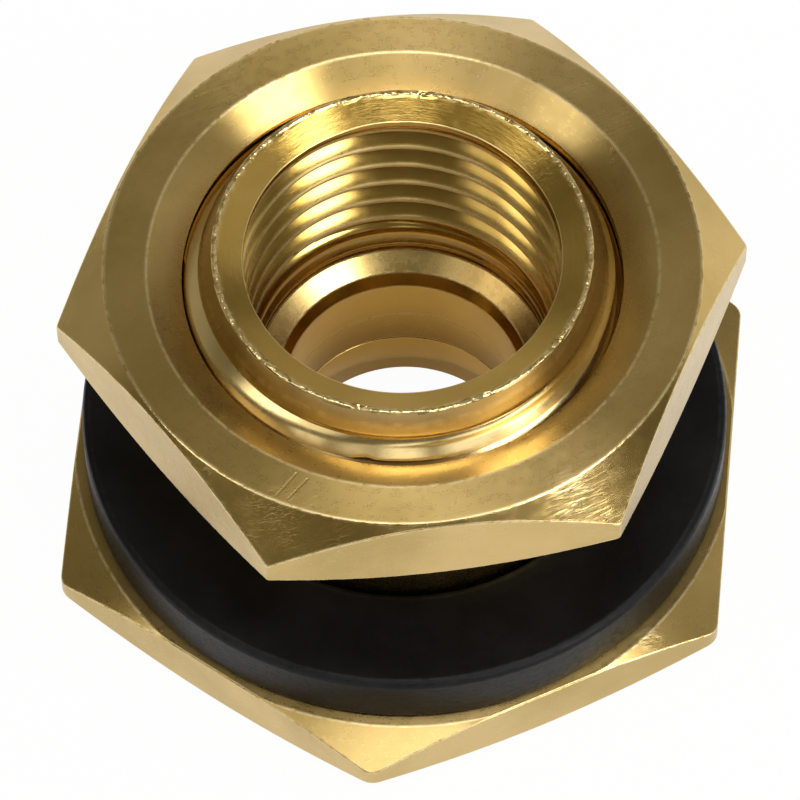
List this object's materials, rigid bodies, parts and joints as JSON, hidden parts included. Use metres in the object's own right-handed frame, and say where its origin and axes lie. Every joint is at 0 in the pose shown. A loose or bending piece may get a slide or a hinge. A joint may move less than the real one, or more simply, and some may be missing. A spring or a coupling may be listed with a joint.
{
  "type": "valve spud",
  "caption": "Brass valve spud with a hexagon flange, threaded stem, rubber gasket and lock nut, for sealing a pipe thread through a tank wall.",
  "frame": {"origin": "centre of the flange's under face, on the axis of the stem", "axes": "+Z along the stem, from the flange to the threaded mouth; a flange corner lies on +X"},
  "size_m": [0.0448, 0.0392, 0.0246],
  "materials": {
    "brass": "turned, satin",
    "rubber": "smooth, matt"
  },
  "bodies": {
    "spud": {"spud_body": "brass", "gasket": "rubber"},
    "nut": {"lock_nut": "brass"}
  },
  "joints": [
    {"name": "nut_travel", "type": "slide", "parent": "spud", "child": "nut", "axis": [0, 0, 1], "range_m": [-0.0096, 0.0072]}
  ]
}
